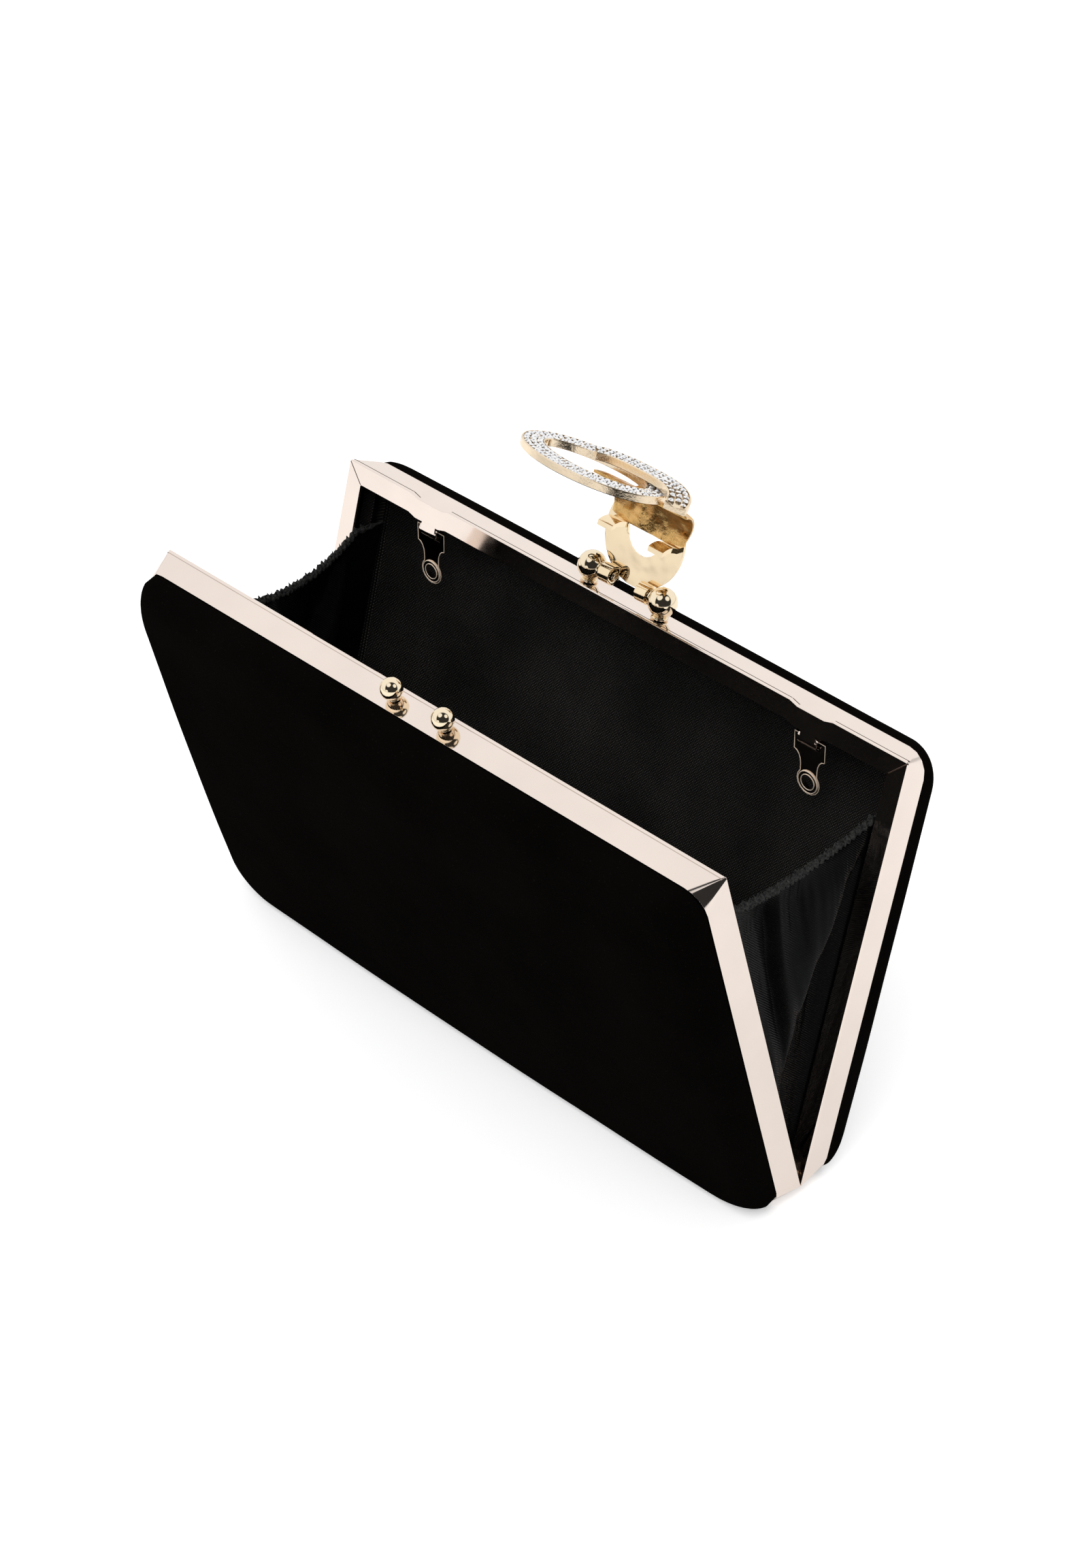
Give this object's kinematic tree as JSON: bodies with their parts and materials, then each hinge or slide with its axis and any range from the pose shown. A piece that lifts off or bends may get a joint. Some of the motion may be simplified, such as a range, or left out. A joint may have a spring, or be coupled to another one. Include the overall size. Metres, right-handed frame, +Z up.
{
  "type": "clutch bag",
  "caption": "Hard-framed evening box clutch, standing open: two padded trays on a bottom hinge, satin gussets and a toggle clasp with linked oval rings.",
  "frame": {"origin": "middle of the bag's outline, on the surface that it stands on", "axes": "+X along the bag's length, to the right as seen from the front; +Y to the rear half, which carries the clasp; +Z up"},
  "size_m": [0.19, 0.0922, 0.152],
  "materials": {
    "rose_gold": "polished, pale rose-gold plating",
    "yellow_gold": "polished, yellow-gold plating",
    "set_ring": "gold plating set with small clear stones",
    "black_velvet": "short black pile",
    "grey_foam": "open foam",
    "grey_board": "pressed fibre board",
    "woven_lining": "ribbed black weave",
    "black_satin": "black satin",
    "black_elastic": "ruched black elastic"
  },
  "bodies": {
    "rear_half": {"rear_frame": "rose_gold", "rear_shell": "grey_board", "rear_foam": "grey_foam", "rear_velvet": "black_velvet", "rear_lining": "woven_lining", "rear_hinge_leaf": "rose_gold", "hinge_pin": "rose_gold", "clasp_post_left": "yellow_gold", "clasp_post_right": "yellow_gold", "tab_loop_left": "rose_gold", "tab_loop_right": "rose_gold", "gusset_left": "black_satin", "gusset_right": "black_satin", "gusset_elastic_left": "black_elastic", "gusset_elastic_right": "black_elastic"},
    "front_half": {"front_frame": "rose_gold", "front_shell": "grey_board", "front_foam": "grey_foam", "front_velvet": "black_velvet", "front_lining": "woven_lining", "front_hinge_leaf": "rose_gold", "catch_ball_left": "yellow_gold", "catch_ball_right": "yellow_gold"},
    "clasp_lever": {"clasp_plate": "yellow_gold", "clasp_hood": "yellow_gold", "ornament_ring_large": "set_ring", "ornament_ring_small": "set_ring"},
    "chain_tab_left_body": {"chain_tab_left": "rose_gold"},
    "chain_tab_right_body": {"chain_tab_right": "rose_gold"}
  },
  "joints": [
    {"name": "bag_hinge", "type": "hinge", "parent": "rear_half", "child": "front_half", "pos_m": [0, -0.00023, 0.00446], "axis": [-1, 0, 0], "range_deg": [0, 30.8], "deforming": ["gusset_left", "gusset_right", "gusset_elastic_left", "gusset_elastic_right"]},
    {"name": "clasp_hinge", "type": "hinge", "parent": "rear_half", "child": "clasp_lever", "pos_m": [0, 0.03515, 0.11674], "axis": [1, 0, 0], "range_deg": [0, 95]},
    {"name": "chain_tab_left_hinge", "type": "hinge", "parent": "rear_half", "child": "chain_tab_left_body", "pos_m": [-0.06498, 0.0307, 0.1049], "axis": [-1, 0, 0], "range_deg": [-6, 55]},
    {"name": "chain_tab_right_hinge", "type": "hinge", "parent": "rear_half", "child": "chain_tab_right_body", "pos_m": [0.06498, 0.0307, 0.1049], "axis": [-1, 0, 0], "range_deg": [-6, 55]}
  ]
}
